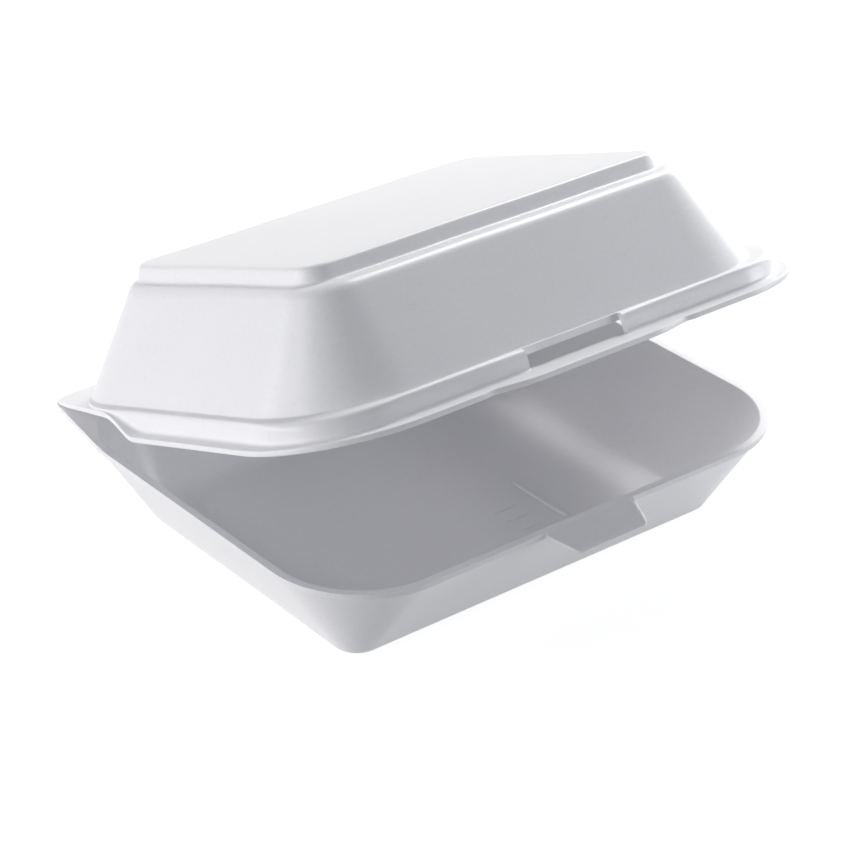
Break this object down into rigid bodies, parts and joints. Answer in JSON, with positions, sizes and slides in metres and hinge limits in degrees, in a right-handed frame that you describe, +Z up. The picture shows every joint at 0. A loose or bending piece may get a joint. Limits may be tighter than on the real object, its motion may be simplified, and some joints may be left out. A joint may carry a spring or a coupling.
{
  "type": "foam clamshell container",
  "caption": "Hinged foam take-away box: a shallow tray with rounded corners, a deeper lid with a raised top that folds open at the back, and a front tab that locks into a window in the lid.",
  "frame": {"origin": "middle of the tray's underside, where it rests", "axes": "+Z up, -Y towards the locking tab, +Y towards the fold, X along the fold"},
  "size_m": [0.1834, 0.1554, 0.1065],
  "materials": {
    "white_foam": "satin skin of foamed polystyrene"
  },
  "bodies": {
    "tray": {"tray": "white_foam"},
    "lid": {"lid": "white_foam"},
    "locking_tab": {"locking_tab": "white_foam"}
  },
  "joints": [
    {"name": "lid_fold", "type": "hinge", "parent": "tray", "child": "lid", "pos_m": [0, 0.07445, 0.0303], "axis": [-1, 0, 0], "range_deg": [-20.3, 145]},
    {"name": "tab_crease", "type": "hinge", "parent": "tray", "child": "locking_tab", "pos_m": [0, -0.06965, 0.0303], "axis": [-1, 0, 0], "range_deg": [0, 90]}
  ]
}
